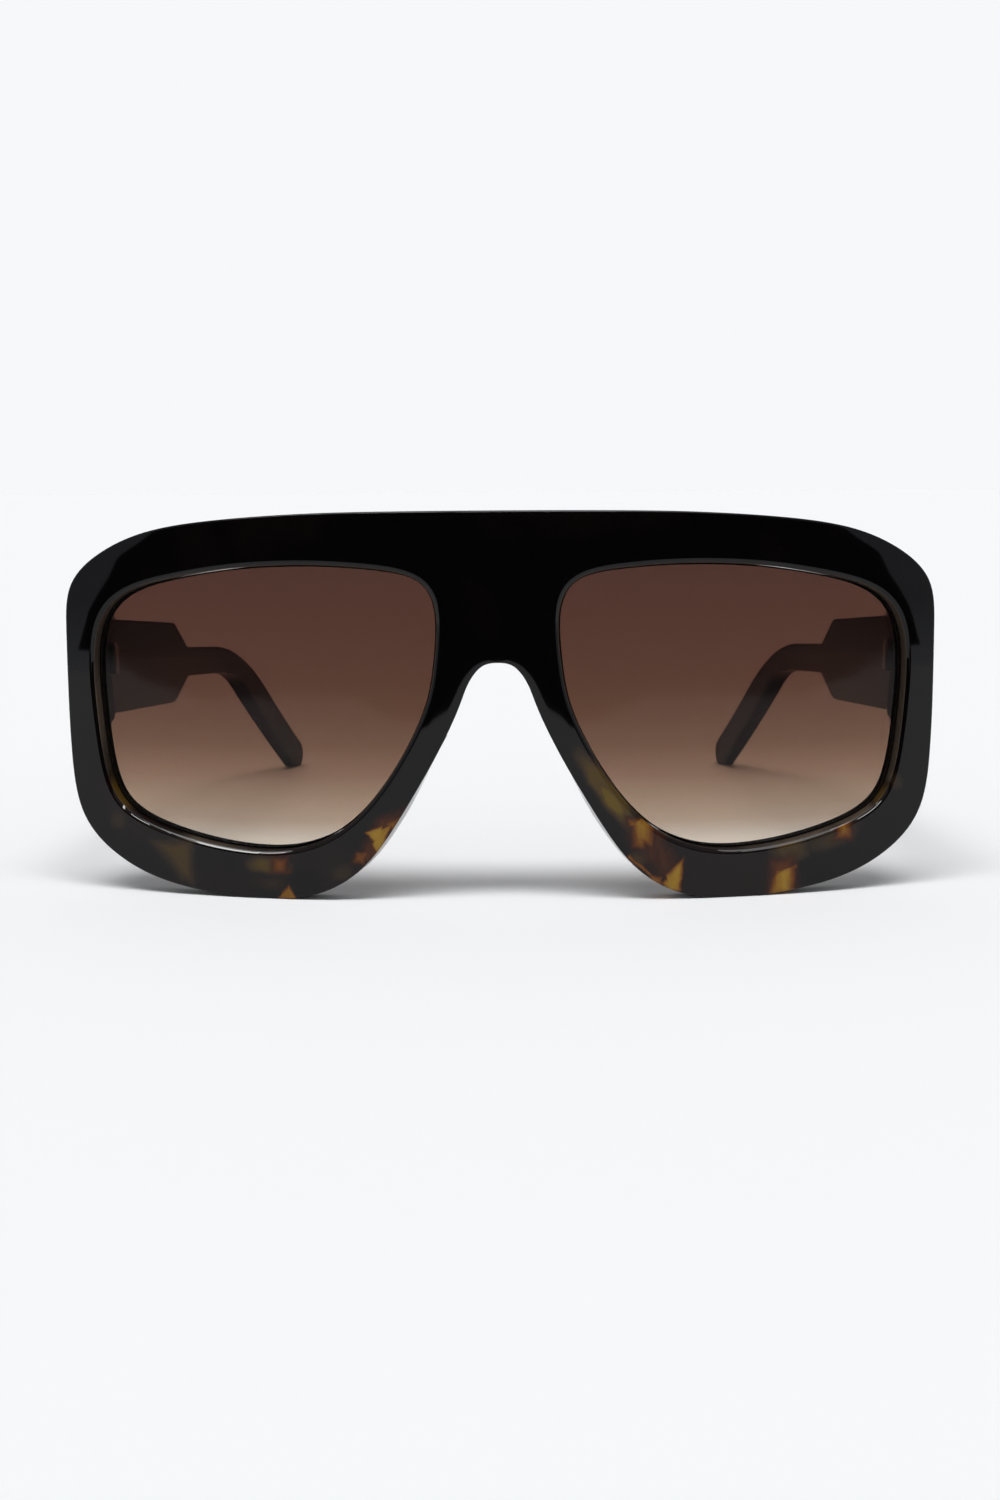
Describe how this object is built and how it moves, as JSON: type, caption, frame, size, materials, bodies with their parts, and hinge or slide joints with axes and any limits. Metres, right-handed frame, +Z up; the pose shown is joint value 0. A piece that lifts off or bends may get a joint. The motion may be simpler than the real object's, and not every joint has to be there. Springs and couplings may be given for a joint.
{
  "type": "square sunglasses",
  "caption": "Large square acetate sunglasses with gradient lenses, a deep nose arch and temples that fold on sunk screw hinges.",
  "frame": {"origin": "middle of the bounding box in X and Y, on the resting face under the lower rims and temple tips", "axes": "-Y is the way the front faces, +Y runs back along the open temples, +X towards the wearer's left, +Z up"},
  "size_m": [0.1442, 0.154, 0.063],
  "materials": {
    "front_acetate": "polished cellulose acetate, near black at the brow and dark tortoiseshell with amber patches below",
    "temple_acetate": "polished dark tortoiseshell acetate",
    "pad_acetate": "polished dark acetate",
    "gradient_lens": "clear brown gradient tint, darker at the top",
    "wire_metal": "drawn nickel silver wire",
    "hinge_metal": "satin nickel silver",
    "screw_metal": "turned stainless steel"
  },
  "bodies": {
    "front": {"front_frame": "front_acetate", "left_lens": "gradient_lens", "right_lens": "gradient_lens", "left_nose_pad": "pad_acetate", "right_nose_pad": "pad_acetate", "left_front_hinge_leaf": "hinge_metal", "right_front_hinge_leaf": "hinge_metal", "left_hinge_screw": "screw_metal", "right_hinge_screw": "screw_metal"},
    "left_arm": {"left_temple": "temple_acetate", "left_core_wire": "wire_metal", "left_temple_hinge_leaf": "hinge_metal"},
    "right_arm": {"right_temple": "temple_acetate", "right_core_wire": "wire_metal", "right_temple_hinge_leaf": "hinge_metal"}
  },
  "joints": [
    {"name": "left_temple_fold", "type": "hinge", "parent": "front", "child": "left_arm", "pos_m": [0.066, -0.05775, 0.038], "axis": [0, 0, 1], "range_deg": [0, 83]},
    {"name": "right_temple_fold", "type": "hinge", "parent": "front", "child": "right_arm", "pos_m": [-0.066, -0.05775, 0.038], "axis": [0, 0, -1], "range_deg": [0, 71]}
  ]
}
